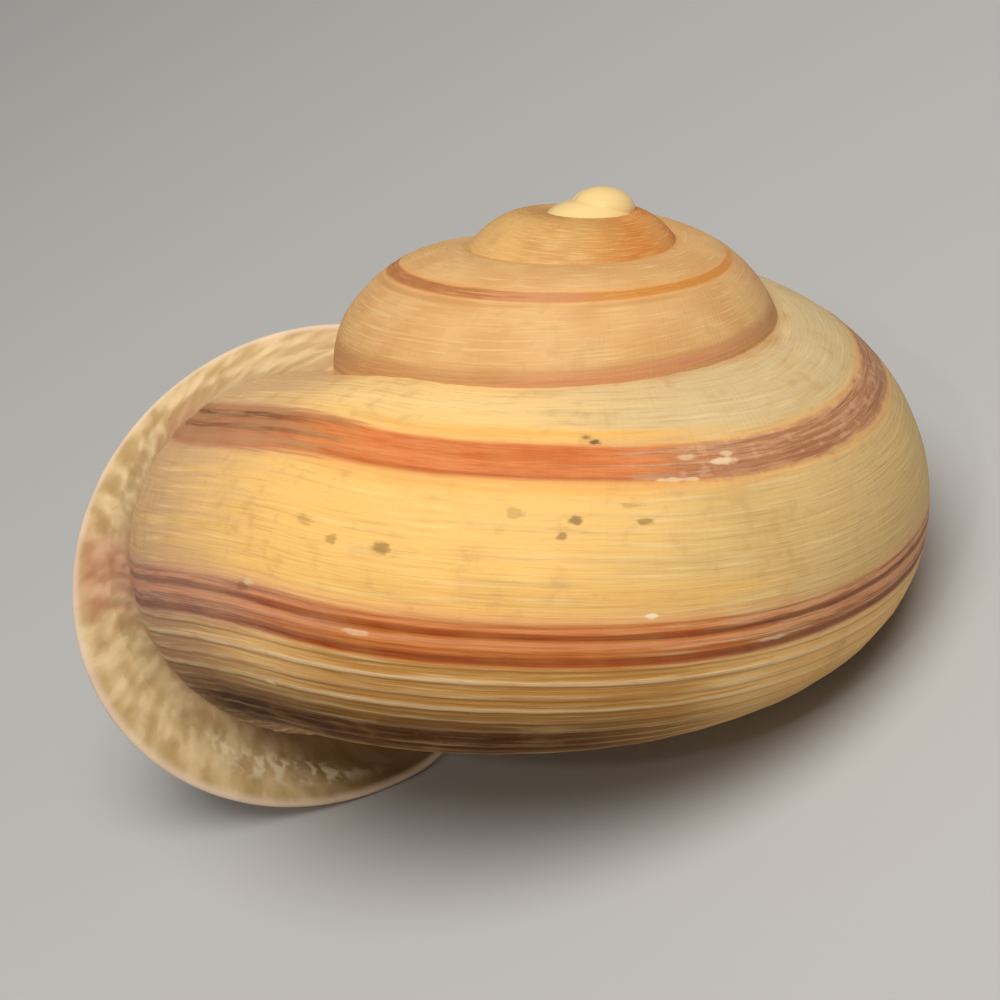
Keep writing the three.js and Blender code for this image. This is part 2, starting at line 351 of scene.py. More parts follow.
def curve(x, knots):
    """A smooth line through a few knots of place and value, level beyond its ends."""
    at, value = np.array(knots, float).T
    slope = np.gradient(value, at)
    x = np.clip(x, at[0], at[-1])
    i = np.clip(np.searchsorted(at, x) - 1, 0, len(at) - 2)
    width = at[i + 1] - at[i]
    t = (x - at[i]) / width
    return (value[i] * (1 + 2 * t) * (1 - t) ** 2 + value[i + 1] * t * t * (3 - 2 * t)
            + width * t * (1 - t) * (slope[i] * (1 - t) - slope[i + 1] * t))


def trace(growth, around):
    """Degrees round the section, counted so that each band keeps its value along the spiral."""
    upper, lower = curve(growth, UPPER_BAND), curve(growth, LOWER_BAND)
    return LOWER_TRACE + (around - lower) * (UPPER_TRACE - LOWER_TRACE) / (upper - lower)


def relief(g, a):
    """Height of the spiral cords and of the growth wrinkles, in millimetres."""
    growth = np.degrees(g)
    v = trace(growth, np.degrees(a))
    phase = (v - CORD_START) / CORD_SPACING + CORD_SWAY * np.sin(CORD_SWAY_RATE * growth)
    cord = (0.5 + 0.5 * np.cos(TURN * phase)) ** CORD_SHARPNESS
    cord = cord * (CORD_MEAN - CORD_ALTERNATION * np.cos(math.pi * phase))
    thread = (0.5 + 0.5 * np.cos(TURN * (THREADS_PER_CORD * phase + 0.5))) ** THREAD_SHARPNESS
    cord = cord + THREAD_SHARE * thread
    on_base = hill(-v, *CORDS_BELOW) * smoothstep(growth, *CORDS_BEHIND_MOUTH)
    bunched = WRINKLE_BUNCHING * np.sin(WRINKLE_BUNCHING_RATE * growth)
    slow = SLOW_WRINKLE_SHARE * np.sin(SLOW_WRINKLE_RATE * growth + SLOW_WRINKLE_START)
    wrinkle = np.sin(WRINKLE_RATE * growth + bunched) + slow
    near_mouth = 1 - smoothstep(growth, *MOUTH_WRINKLES_END)
    height = WRINKLE_HEIGHT + (MOUTH_WRINKLE_HEIGHT - WRINKLE_HEIGHT) * near_mouth
    return coil_shrink(g) * (CORD_HEIGHT * cord * on_base + height * wrinkle)


def waves(at, length, sway, sway_length, start):
    """Waves of even length whose crests sway to and fro."""
    return np.sin(TURN * (at / length + sway * np.sin(at / sway_length) + start))


def lip_folds(a, lip):
    """Height of the folds that fan out across the lip, strongest toward its lower end."""
    degrees = np.degrees(a)
    at = degrees - FOLD_FAN * (degrees - FOLD_MIDDLE) * lip
    first, second = (np.sin(at / length + slant * lip) for length, slant in FOLD_PATCHES)
    patch = 0.5 + 0.5 * first * second
    fold = patch * waves(at, *BROAD_FOLDS) + (1 - patch) * waves(at, *FINE_FOLDS)
    shown = hill(lip, *BACK_FOLDS) + FRONT_FOLD_SHARE * hill(lip, *FRONT_FOLDS)
    height = FOLD_HEIGHT + (LOW_FOLD_HEIGHT - FOLD_HEIGHT) * hill(-degrees, *LOW_FOLDS)
    return height * fold * shown


def through(rows, t):
    """A smooth curve through evenly spaced rows, at shares t of its length."""
    rows = np.array(rows, float)
    reached = t * (len(rows) - 1)
    i = np.clip(reached.astype(int), 0, len(rows) - 2)
    f = (reached - i)[:, None]
    before = rows[np.maximum(i - 1, 0)]
    after = rows[np.minimum(i + 2, len(rows) - 1)]
    a, b = rows[i], rows[i + 1]
    return a + 0.5 * f * (b - before + f * (2 * before - 5 * a + 4 * b - after
                                            + f * (3 * (a - b) + after - before)))


def lip_rings(a):
    """Points of the lip from the mouth circle to the rim and back in, and the lip coordinate."""
    t = np.linspace(0, 1, LIP_ROWS)[1:]
    profile = through(LIP_PROFILE, t)
    share, inset, forward, margin = (profile[:, k, None] for k in range(4))
    # The rim is half way along the profile
    lip = np.where(t < 0.5, LIP_AT_MOUTH + t, 2 * t)[:, None]
    inset = inset - relief(0.0, a) * (1 - smoothstep(lip, LIP_AT_MOUTH, RELIEF_END))
    forward = forward - lip_folds(a, lip)
    base = mouth_points(a, inset, forward)
    rim = rim_points(a, forward)
    flare = (share * flare_share(a))[..., None]
    points = clear_of_earlier_whorl(base + (rim - base) * flare, 0.0, margin)
    return points, np.broadcast_to(lip, points.shape[:2])


def turned_share(g):
    """Zero up to where the last whorl starts to turn out, then rising to one at the mouth."""
    return np.maximum(0, 1 - np.degrees(g) / FLARE_GROWTH)


def turning_out(g, a):
    """How far the end of the last whorl already turns out toward the rim."""
    share = FLARE_SHARE * turned_share(g) ** FLARE_EASE * flare_share(a)
    toward_rim = rim_points(a, 0.0 * g) - mouth_points(a, 0.0, 0.0 * g)
    return turn_about_axis(toward_rim * share[..., None], g)


def angles(count):
    return -math.pi + TURN * np.arange(count) / count


def outer_angles(count):
    return np.radians(np.interp(np.arange(count) / count, SPREAD_SHARES, SPREAD_ANGLES))


def new_object(name, data):
    thing = bpy.data.objects.new(name, data)
    bpy.context.scene.collection.objects.link(thing)
    return thing


class Rings:
    """A closed tube of rings, with what its surface is at every point."""

    LABELS = ("growth", "around", "lip", "side")

    def __init__(self, points, g, a, lip, side):
        shape = points.shape[:2]
        self.points = points
        self.growth = np.broadcast_to(np.degrees(g), shape)
        self.around = np.broadcast_to(np.degrees(a), shape)
        self.lip = np.broadcast_to(lip, shape)
        self.side = np.full(shape, side)

    def joined(self, other):
        for name in ("points", *self.LABELS):
            setattr(self, name, np.concatenate([getattr(self, name), getattr(other, name)]))
        return self

    def normals(self):
        """Smooth normals from the rings alone, so that a run's end shades as if it went on."""
        round_it = np.roll(self.points, -1, axis=1) - np.roll(self.points, 1, axis=1)
        along_it = np.gradient(self.points, axis=0)
        flat = np.cross(round_it, along_it).reshape(-1, 3)
        ends = [self.points[0].mean(0) - self.points[1].mean(0),
                self.points[-1].mean(0) - self.points[-2].mean(0)]
        flat = np.vstack([flat, ends])
        return flat / np.maximum(np.linalg.norm(flat, axis=1, keepdims=True), TINY)

    def vertices(self):
        """Every ring's points in turn, then the middles of the first and the last ring."""
        return np.vstack([self.points.reshape(-1, 3), self.points[0].mean(0),
                          self.points[-1].mean(0)])

    def faces(self):
        """The vertex at each corner, each face's number of corners, and the seam's far corners."""
        rows, count = self.points.shape[:2]
        i = np.arange(count)
        n = (i + 1) % count
        row = (np.arange(rows - 1) * count)[:, None]
        quads = np.stack([row + i, row + n, row + count + n, row + count + i], -1).reshape(-1, 4)
        end = (rows - 1) * count
        first = np.stack([np.full(count, rows * count), n, i], -1)
        last = np.stack([np.full(count, rows * count + 1), end + i, end + n], -1)
        corners = np.concatenate([quads.ravel(), first.ravel(), last.ravel()])
        sizes = np.concatenate([np.full(len(quads), 4), np.full(2 * count, 3)])
        far = np.concatenate([np.tile([False, True, True, False], len(quads)),
                              np.tile([False, True, False], count),
                              np.tile([False, False, True], count)])
        return corners, sizes, far & (corners % count == 0)

    def corner_values(self, corners, far):
        """The attributes at each corner. Far corners of the seam read one turn more round it."""
        told = {}
        for label in self.LABELS:
            values = getattr(self, label).ravel()
            told[label] = np.concatenate([values, [values[0], values[-1]]])[corners]
        told["around"] = told["around"] + 360 * far
        told["trace"] = trace(told["growth"], told["around"])
        return told

    def build(self, name):
        corners, sizes, far = self.faces()
        verts = self.vertices()
        starts = np.concatenate([[0], np.cumsum(sizes)[:-1]])
        mesh = bpy.data.meshes.new(name)
        mesh.vertices.add(len(verts))
        mesh.vertices.foreach_set("co", verts.astype(np.float32).ravel())
        mesh.loops.add(len(corners))
        mesh.loops.foreach_set("vertex_index", corners.astype(np.int32))
        mesh.polygons.add(len(sizes))
        mesh.polygons.foreach_set("loop_start", starts.astype(np.int32))
        mesh.update(calc_edges=True)
        for label, values in self.corner_values(corners, far).items():
            stored = mesh.attributes.new(label, "FLOAT", "CORNER")
            stored.data.foreach_set("value", values.astype(np.float32))
        shade = mesh.attributes.new("shade", "FLOAT_VECTOR", "CORNER")
        shade.data.foreach_set("vector", self.normals()[corners].astype(np.float32).ravel())
        return new_object(name, mesh)


def combine(target, tool, operation):
    modifier = target.modifiers.new(operation, "BOOLEAN")
    modifier.object = tool
    modifier.operation = operation
    modifier.solver = "MANIFOLD"
    bpy.context.view_layer.objects.active = target
    bpy.ops.object.modifier_apply(modifier=modifier.name)
    bpy.data.objects.remove(tool)
    return target


def spaced(start, stop, count):
    return np.linspace(start, stop, count)[:, None]


def joined_runs(make_run, runs):
    """The runs, made one by one from the mouth back, each joined to those before it."""
    whole = None
    start = 0.0
    for number, run in enumerate(runs):
        made = make_run(number, start, *run)
        whole = made if whole is None else combine(whole, made, "UNION")
        start = run[0]
    return whole


def last_whorl_run(end, rings, a):
    """The end of the last whorl with the lip, its rings closer together near the mouth."""
    g = end * spaced(1, 0, rings) ** FIRST_CLOSING
    begun = LIP_AT_MOUTH * turned_share(g) ** LIP_EASE
    points = whorl_points(g, a, -relief(g, a) - lip_folds(a, begun)) + turning_out(g, a)
    lip, flare = lip_rings(a)
    run = Rings(points, g, a, begun, OUTSIDE).joined(Rings(lip, 0.0, a, flare, OUTSIDE))
    return run.build("outer_run")


def outer_run(number, start, end, rings, count):
    """A stretch of the outside, a little thinner than the one before so that no skins coincide."""
    a = outer_angles(count)
    if number == 0:
        return last_whorl_run(end, rings, a)
    begin = start - RUN_OVERLAP
    g = begin + (end - begin) * spaced(1, 0, rings)
    inset = number * RUN_SHRINK - relief(g, a)
    if end < APEX_GROWTH:
        points = whorl_points(g, a, inset)
    else:
        to_end = np.maximum(0, g - (APEX_GROWTH - APEX_ROUNDING)) / APEX_ROUNDING
        points = tube_points(g, a, inset, np.sqrt(np.maximum(APEX_TIP, 1 - to_end ** 2)))
    return Rings(points, g, a, 0.0, OUTSIDE).build("outer_run")


def nucleus():
    """The first grown part of the shell, a low dome over the coil's axis."""
    tilt = spaced(-math.pi / 2, math.pi / 2, NUCLEUS_ROWS)[1:-1]
    a = angles(NUCLEUS_AROUND)
    across = NUCLEUS_RADIUS * np.cos(tilt)
    dome = stack(NUCLEUS_SHIFT + across * np.cos(a), across * np.sin(a),
                 -NUCLEUS_HALF_HEIGHT * np.sin(tilt) - NUCLEUS_DEPTH)
    return Rings(dome, APEX_GROWTH, a, 0.0, OUTSIDE).build("nucleus")


def outside():
    return combine(joined_runs(outer_run, OUTER_RUNS), nucleus(), "UNION")


def callus(g):
    return CALLUS_THICKNESS + CALLUS_RIDGE * np.exp(-(((g - TURN) / CALLUS_RIDGE_SPREAD) ** 2))


def hollow_run(number, start, end, rings, count):
    """A stretch of the hollow, less the earlier whorl with its callus that stands into it."""
    a = angles(count)
    begin = start - (RUN_OVERLAP if number else 0.0)
    g = spaced(end, begin, rings)
    run = Rings(whorl_points(g, a, wall(g) + number * RUN_SHRINK), g, a, 0.0, HOLLOW)
    if number == 0:
        ahead = spaced(0, HOLLOW_AHEAD, HOLLOW_AHEAD_RINGS)[1:]
        run.joined(Rings(mouth_points(a, wall(0.0), ahead), 0.0, a, 0.0, HOLLOW))
    coat_g = spaced(end + TURN + COAT_BEHIND, begin + TURN - COAT_AHEAD, COAT_RINGS)
    coat_a = angles(COAT_AROUND)
    coat = Rings(whorl_points(coat_g, coat_a, -callus(coat_g)), coat_g, coat_a, 0.0, COAT)
    return combine(run.build("hollow_run"), coat.build("coat"), "DIFFERENCE")


def inside():
    return joined_runs(hollow_run, HOLLOW_RUNS)


def set_normals(mesh):
    """Shades each face by the smooth surface it came from, turned over where a cut flipped it."""
    count = len(mesh.loops)
    shade = np.zeros(count * 3, np.float32)
    mesh.attributes["shade"].data.foreach_get("vector", shade)
    shade = shade.reshape(-1, 3)
    sizes = np.zeros(len(mesh.polygons), np.int32)
    mesh.polygons.foreach_get("loop_total", sizes)
    flat = np.zeros(len(mesh.polygons) * 3, np.float32)
    mesh.polygons.foreach_get("normal", flat)
    own = np.repeat(flat.reshape(-1, 3), sizes, axis=0)
    agree = np.einsum("ij,ij->i", own, shade)
    shade = np.where(agree[:, None] < FLIPPED, -shade, shade)
    length = np.linalg.norm(shade, axis=1, keepdims=True)
    shade = np.where(length > MISSING, shade / np.maximum(length, MISSING), own)
    mesh.shade_smooth()
    mesh.normals_split_custom_set(shade.tolist())
    mesh.attributes.remove(mesh.attributes["shade"])


def make_shell():
    whole = combine(outside(), inside(), "DIFFERENCE")
    whole.name = "snail_shell"
    mesh = whole.data
    mesh.name = "snail_shell"
    set_normals(mesh)
    lean = Matrix.Rotation(REST_TURN, 4, "Z") @ Matrix.Rotation(LEAN, 4, "Y")
    lean = lean @ Matrix.Rotation(-SINKING_SIDE, 4, "Z")
    at_rest = Matrix.Translation(Vector(COIL_ORIGIN) * MM) @ lean
    mesh.transform(at_rest @ Matrix.Scale(MM, 4))
    lowest = min(vertex.co.z for vertex in mesh.vertices)
    mesh.transform(Matrix.Translation((0, 0, -lowest)))
    return whole


class Field:
    """A number or colour that varies over the surface: an output of the node graph."""

    def __init__(self, socket):
        self.socket = socket

    def __add__(self, other):
        return calc("ADD", self, other)

    def __radd__(self, other):
        return calc("ADD", other, self)

    def __sub__(self, other):
        return calc("SUBTRACT", self, other)

    def __rsub__(self, other):
        return calc("SUBTRACT", other, self)

    def __mul__(self, other):
        return calc("MULTIPLY", self, other)

    def __rmul__(self, other):
        return calc("MULTIPLY", other, self)

    def __truediv__(self, other):
        return calc("DIVIDE", self, other)

    def __neg__(self):
        return calc("MULTIPLY", -1, self)


material = bpy.data.materials.new("banded_shell")
material.use_nodes = True
tree = material.node_tree


def node(kind, inputs, output=0, **settings):
    """Adds a node, sets or links its inputs, and returns one of its outputs."""
    made = tree.nodes.new("ShaderNode" + kind)
    for name, value in settings.items():
        setattr(made, name, value)
    for name, value in inputs.items():
        if isinstance(value, Field):
            tree.links.new(value.socket, made.inputs[name])
        else:
            made.inputs[name].default_value = value
    return Field(made.outputs[output])


def calc(operation, *values):
    return node("Math", dict(enumerate(values)), operation=operation)


def absolute(x):
    return calc("ABSOLUTE", x)


def attribute(name):
    return node("Attribute", {}, "Fac", attribute_name=name)


def step(x, low, high):
    return node("MapRange", {"Value": x, "From Min": low, "From Max": high},
                interpolation_type="SMOOTHSTEP")


def band(x, middle, half, soft):
    """One inside the band, falling to zero over twice the softness at each edge."""
    return 1 - step(absolute(x - middle), half - soft, half + soft)


def plateau(x, start, full, fading, gone):
    """Rises from zero to one between the first two values and falls between the last two."""
    return step(x, start, full) - step(x, fading, gone)


def noise(x, y, z, detail=2.0):
    """Smooth noise about zero, mostly within a third either way."""
    point = node("CombineXYZ", {0: x, 1: y, 2: z})
    return node("TexNoise", {"Vector": point, "Scale": 1.0, "Detail": detail}, "Fac") - 0.5


def speckle(scale):
    """Smooth noise about zero, alike in every direction, finer with a larger scale."""
    return node("TexNoise", {"Vector": position, "Scale": scale, "Detail": 2.0}, "Fac") - 0.5


def drawn_out(along, crosswise, layer, detail=2.0):
    """Noise with so many cells to a degree along the spiral and to a degree across it."""
    return noise(growth * along, trail * crosswise, layer, detail)


def lip_noise(round_it, outward, layer, detail=0.6):
    """Noise with so many cells to a degree round the lip and from its start to its rim."""
    return noise(skewed * round_it, lip * outward, layer, detail)


def tone(*levels):
    """A colour given in screen levels from 0 to 255."""
    parts = [level / 255 for level in levels]
    return (*[c / 12.92 if c <= 0.04045 else ((c + 0.055) / 1.055) ** 2.4 for c in parts], 1)


def mix(share, under, over):
    inputs = {0: share, 6: under, 7: over}
    return node("Mix", inputs, 2, data_type="RGBA", clamp_factor=True)


def mottled(pattern, shades, low=-0.2, high=0.2):
    """A colour that wanders between two shades as a pattern rises."""
    return mix(step(pattern, low, high), *shades)


def mix_number(share, low, high):
    return low + share * (high - low)


growth = attribute("growth")
trail = attribute("trace")
around = attribute("around")
lip = attribute("lip")
side = attribute("side")
position = node("TexCoord", {}, "Object")

# Noise drawn out along the spiral or across it, then noise alike in every direction
broad = drawn_out(0.03, 0.24, 3.0)
fine = drawn_out(0.07, 0.75, 7.0)
hair = drawn_out(0.22, 2.1, 11.0)
across = noise(growth * 0.17 + around * 0.05, trail * 0.05, 17.0)
blotch = speckle(650.0)
fleck = speckle(2600.0)
grain = speckle(6000.0)
wobble = broad * 2.6 + fine * 1.6

# Marks that fan out across the lip: short strokes, broader leaves and a slow mottling
skewed = around - FOLD_FAN * lip * (around - FOLD_MIDDLE)
stroke = lip_noise(0.36, 4.6, 23.0)
leaf = lip_noise(0.22, 3.4, 37.0)
mottle = lip_noise(0.08, 1.6, 29.0, 2.0)

# Cords of the base, in step with the relief
cord_phase = (trail - CORD_START) / CORD_SPACING
cord_phase = cord_phase + CORD_SWAY * calc("SINE", growth * CORD_SWAY_RATE)
cord = calc("POWER", 0.5 + 0.5 * calc("COSINE", TURN * cord_phase), CORD_SHARPNESS)
cord = cord * (CORD_MEAN - CORD_ALTERNATION * calc("COSINE", math.pi * cord_phase))
thread = 0.5 + 0.5 * calc("COSINE", TURN * THREADS_PER_CORD * cord_phase + math.pi)

# Colours of the ground. Two together are the shades that a colour wanders between
CREAM = tone(246, 195, 112), tone(248, 207, 136)
GREYER_CREAM = tone(212, 179, 121)
GREYER_TOP_CREAM = tone(216, 189, 140)
GOLD = tone(242, 176, 84)
LOW_GOLD = tone(228, 172, 92)
BESIDE_LIP_TAN = tone(216, 172, 124)
PEACH = tone(216, 164, 104), tone(230, 182, 122)
OCHRE = tone(202, 150, 84), tone(226, 176, 108)
ORANGE = tone(206, 126, 58), tone(228, 154, 80)
# Painted shade in a groove on the orange whorls
GROOVE_SHADE_BROWN = tone(186, 130, 70)
# Painted shadow along the suture, under the whorl before
SUTURE_SHADOW_TAN = tone(198, 140, 84)
TIP_CREAM = tone(240, 206, 140)

# Colours of the streaks
LIGHT_STREAK = tone(253, 222, 160)
DARK_STREAK = tone(190, 140, 80)
TAN_WASH = tone(206, 160, 94)
FLECK_BROWN = tone(186, 142, 84)

# Colours of the underside
BASE_NEAR_MOUTH = tone(192, 142, 104)
BASE_TAN = tone(240, 190, 118)
BASE_BROWN = tone(190, 134, 64)
# Partly painted shade: a darker brown where the underside turns away
DARKER_BASE_AND_SHADE = tone(140, 100, 58)
THREAD_CREAM = tone(226, 190, 136)
# Painted shadow in the grooves between the cords
CORD_GROOVE_SHADOW = tone(124, 80, 42)
CORD_CREAM = tone(236, 204, 156)
# A dark brown band where the whorl turns under, partly the shell's own brown and partly painted
# shade
BASAL_BAND_AND_SHADE_BROWN = tone(78, 38, 10)

# Colours of the upper band
UPPER_FRINGE = tone(238, 168, 96), tone(214, 158, 120)
RED = tone(200, 100, 48), tone(224, 132, 76)
DEEP_RED = tone(176, 84, 38)
UPPER_MAUVE = tone(162, 104, 72), tone(198, 146, 110)
DEEP_UPPER_MAUVE = tone(156, 98, 66)
UPPER_MAUVE_FLECK = tone(222, 174, 140)
BROWN = tone(150, 88, 52), tone(192, 128, 90)
DEEP_BROWN = tone(118, 62, 28)
SPIRE_BAND = tone(176, 110, 64), tone(206, 140, 98)
SPIRE_BAND_ORANGE = tone(206, 134, 58)
SPIRE_BAND_LIGHT = tone(228, 172, 112)
SECOND_LINE_TAN = tone(200, 142, 84)

# Colours of the lower band
LOWER_GLOW = tone(230, 156, 104), tone(212, 158, 128)
RUST = tone(196, 106, 46), tone(214, 130, 68)
LOWER_MAUVE = tone(168, 112, 88), tone(208, 154, 126)
LOWER_FADED = tone(174, 108, 66), tone(220, 164, 116)
DEEP_RUST = tone(144, 58, 16)
DEEP_MAUVE = tone(122, 68, 52)
DEEP_FADED = tone(128, 70, 44)
PALE_RUST = tone(226, 152, 110)
SPIRE_ZONE = tone(180, 126, 78), tone(204, 152, 98)
SPIRE_ZONE_PATCH = tone(206, 138, 96)
SPIRE_ZONE_BROWN = tone(170, 108, 66)

# Colours of the spots, the lip and the inside
SPECK_BROWN = tone(124, 84, 40)
# Pale chips, and one painted highlight
CHIP_AND_GLINT_CREAM = tone(250, 224, 182)
KHAKI = tone(192, 158, 106), tone(222, 190, 140)
DARK_KHAKI = tone(170, 134, 86)
LIGHT_KHAKI = tone(236, 208, 162)
LIP_START_TAN = tone(206, 164, 118)
LOWER_STAIN = tone(182, 120, 92), tone(206, 152, 120)
UPPER_STAIN = tone(198, 138, 102)
# Painted shade over a brown at the lower end of the lip, where it runs under
UNDER_LIP_SHADE_BROWN = tone(96, 58, 26)
PALE_MARK = tone(236, 214, 174)
RIM_CREAM = tone(236, 210, 184)
INSIDE_CREAM = tone(240, 222, 188), tone(226, 196, 148)
INSIDE_UPPER_BAND = tone(206, 138, 96)
INSIDE_LOWER_BAND = tone(176, 112, 84)
COAT_CREAM = tone(240, 222, 186)

# Stretches over which the colours change, in degrees of growth back from the mouth. Where there
# are four values, the change is undone over the last two
BESIDE_LIP = 20, 52
GREYER_BACK = 78, 140
GREYER_TOP = 66, 120
SPIRE = 230, 350
ORANGE_WHORL = 600, 740
DEEP_ORANGE = 795, 845
GROOVE_SHADE_END = 750, 790
# Where the painted shadow along the suture starts and ends
SUTURE_SHADOW = 88, 112
SUTURE_SHADOW_END = 900, 980
STREAKS_END = 940, 1040
TIP = 940, 1060
POLISHED_TIP = 960, 1060
BASE_END = 620, 700
UPPER_BROWN_END = 36, 60
UPPER_MAUVE_FROM = 98, 118
UPPER_NARROW_FROM = 250, 370
UPPER_END = 500, 590
LOWER_MAUVE_END = 42, 68
LOWER_FADED_FROM = 108, 126
LOWER_ZONE_FROM = 230, 340
LOWER_END = 620, 700
ZONE_END = 560, 660
BASE_NEAR_MOUTH_END = 30, 64
DARKER_BASE_AND_SHADE_END = 96, 120
# Where the painted shade of the underside is at its darkest
DARKEST_SHADE = 2, 34, 88, 128
BASE_BROWN_SPAN = 50, 66, 106, 126
GOLD_SPAN = 40, 62, 104, 124
LOW_GOLD_SPAN = 50, 75, 112, 130
SPIRE_BAND_FADES = 415, 435
SPIRE_BAND_TURNS_ORANGE = 445, 462
SECOND_LINE_SPAN = 350, 372, 420, 440
SECOND_LINE_AGAIN = 445, 460, 485, 500
SPIRE_ZONE_PATCH_SPAN = 425, 450, 490, 530

# Lines along the spiral: middle, half width and softness in degrees of trace, and in the lists
# also how strong each is
GOLD_LINES = [(11.3, 2, 1.8, 1), (30.5, 1.6, 1.6, 1)]
LOW_GOLD_LINE = -21, 3.5, 2.5
UPPER_RED_LINE = 14.6, 0.9, 0.8
MAUVE_LINE = 17.2, 1.6, 1.4
BROWN_LINES = [(24.6, 1.5, 1, 1), (19.5, 0.9, 0.8, 0.8)]
UPPER_SECOND_LINE = 12.4, 1.6, 1.3
DEEP_LINES = [(-28.2, 0.8, 0.7, 0.7), (-32.4, 1.0, 0.6, 1), (-40.3, 1.5, 0.8, 1),
              (-37.6, 0.5, 0.5, 0.5)]
PALE_LINES = [(-35.2, 0.9, 0.6, 1), (-30.4, 0.5, 0.5, 0.7)]
ZONE_PATCH_LINE = -35, 6, 4
ZONE_LINE = -29.5, 0.8, 0.8

# Marks on the lip: middle, half width and softness, or where a start or end begins and is complete
LOWER_STAIN_ROUND = -22, 11, 8
LOWER_STAIN_END = 0.8, 1.0
UPPER_STAIN_ROUND = 30, 8, 5
UPPER_STAIN_END = 0.2, 0.75
LIP_START_END = 0.1, 0.45
# Where the painted shade at the lower end of the lip sets in and ends
UNDER_LIP_SHADE = 82, 112
UNDER_LIP_SHADE_END = 0.9, 1.0
PALE_MARK_ROUND = 97, 16, 8
PALE_MARK_OUTWARD = 0.62, 0.16, 0.1
RIM = 0.9, 0.98

# Degrees round the section above which parts of the ground change
PALER_ABOVE = 22, 42
GREYER_TOP_ABOVE = 24, 36
GROOVE_SHADE_ABOVE = 40, 56
SUTURE_SHADOW_ABOVE = 50, 60

# Degrees below the outermost point where the underside's paint starts, where a darker brown, partly
# painted shade, sets in, and where the dark band of painted shade darkens and lightens again
BASE_EDGE = 40.5, 43
DARKER_BASE_AND_SHADE_BELOW = 50, 62
BASE_SHADE_DARKENS = 55, 76
BASE_SHADE_LIGHTENS = 82, 106
STREAKS_FAINT_BELOW = 52, 70

# Widths of the bands, in degrees away from their middle
UPPER_HALF = 6.3
UPPER_NARROWING = 2.6
UPPER_WIDENING = 2.4
LOWER_EDGES = -8.4, -6.6, 5.4, 7.8
LOWER_GLOW_EDGES = 2, 6, 7, 12
SPIRE_ZONE_EDGES = -15, -10, 0, 12

# Where the side attribute passes from the outside to the hollow and from there to the coat
LIP_INTO_THROAT = 0.2, 0.6
INSIDE = 0.3, 0.7
ON_COAT = 1.2, 1.8

# Bump in millimetres, and where along the spiral and the lip it fades
STRIA_HEIGHT = 0.022
FINE_STRIA_HEIGHT = 0.008
GROWTH_LINE_HEIGHT = 0.012
STROKE_HEIGHT = 0.045
LEAF_HEIGHT = 0.03
GRAIN_HEIGHT = 0.004
STRIAE_FADE = 260, 420
STRIAE_END_ON_LIP = 0.05, 0.3
RIDGES_ON_LIP = 0.08, 0.3, 0.82, 0.98

# Gloss
DULL = 0.5
DULLEST_BELOW = 44, 64
POLISHED = 0.16
SPECULAR_LEVEL = 0.12


def during(start, full, fading=None, gone=None):
    """Nearly one between two growth angles, with a worn start and end."""
    frayed = growth + 26 * fine
    share = step(frayed, start, full)
    return share if fading is None else share - step(frayed, fading, gone)


def line(middle, half, soft):
    return band(trail + wobble * 0.55, middle, half, soft)


def lines(rows):
    """Several lines together, each of its own strength."""
    total = 0
    for middle, half, soft, strength in rows:
        total = total + line(middle, half, soft) * strength
    return total


def ground_colour():
    """Cream on the last whorl, tan and peach before it, orange near the tip, and a pale tip, with
    painted shade in a groove and painted shadow along the suture.
    """
    cream = mottled(trail + 8 * blotch, CREAM, *PALER_ABOVE)
    # The cream turns greyer further back from the mouth, more so on top
    cream = mix(step(growth + 60 * broad, *GREYER_BACK) * 0.9, cream, GREYER_CREAM)
    top = step(trail + 8 * blotch, *GREYER_TOP_ABOVE)
    cream = mix(step(growth + 60 * broad, *GREYER_TOP) * top * 0.8, cream, GREYER_TOP_CREAM)
    cream = mix(lines(GOLD_LINES) * during(*GOLD_SPAN) * 0.7, cream, GOLD)
    cream = mix(line(*LOW_GOLD_LINE) * during(*LOW_GOLD_SPAN) * 0.4, cream, LOW_GOLD)
    beside_lip = 1 - step(growth + 40 * broad + 16 * fine, *BESIDE_LIP)
    cream = mix(beside_lip * 0.9, cream, BESIDE_LIP_TAN)
    peach = mottled(blotch, PEACH, -0.14)
    uneven = growth + 60 * blotch
    patchy = blotch + 0.5 * fine
    orange = mix(step(uneven, *DEEP_ORANGE), mottled(patchy, OCHRE), mottled(patchy, ORANGE, -0.16))
    # Painted shade in the groove at the top of the orange whorls
    groove_shade = (1 - step(uneven, *GROOVE_SHADE_END)) * step(around, *GROOVE_SHADE_ABOVE)
    orange = mix(groove_shade * 0.5, orange, GROOVE_SHADE_BROWN)
    colour = mix(step(growth, *SPIRE), cream, peach)
    colour = mix(step(growth, *ORANGE_WHORL), colour, orange)
    # Painted shadow on the last whorls just under the edge of the whorl before
    seam = step(around + 16 * blotch - growth * 0.025, *SUTURE_SHADOW_ABOVE) * during(*SUTURE_SHADOW)
    colour = mix(seam * (1 - step(growth, *SUTURE_SHADOW_END)) * 0.7, colour, SUTURE_SHADOW_TAN)
    return mix(step(growth, *TIP), colour, TIP_CREAM)


def streaks(colour):
    """Light and dark streaks along the spiral and across it, fainter on the dark underside."""
    shown = (1 - step(growth, *STREAKS_END)) * (1 - 0.5 * step(-trail, *STREAKS_FAINT_BELOW))
    light = step(fine + 0.8 * broad, 0.02, 0.3) * 0.34
    dark = step(-fine - 0.4 * hair, 0.02, 0.3) * 0.34
    colour = mix(light * shown, colour, LIGHT_STREAK)
    colour = mix(dark * shown, colour, DARK_STREAK)
    colour = mix(step(broad + 0.9 * blotch, 0.0, 0.26) * 0.3 * shown, colour, TAN_WASH)
    colour = mix(step(across, 0.06, 0.3) * 0.12 * shown, colour, TAN_WASH)
    patch = step(fleck + 0.3 * hair + 0.5 * blotch, 0.06, 0.28) * 0.22
    return mix(patch * shown, colour, FLECK_BROWN)


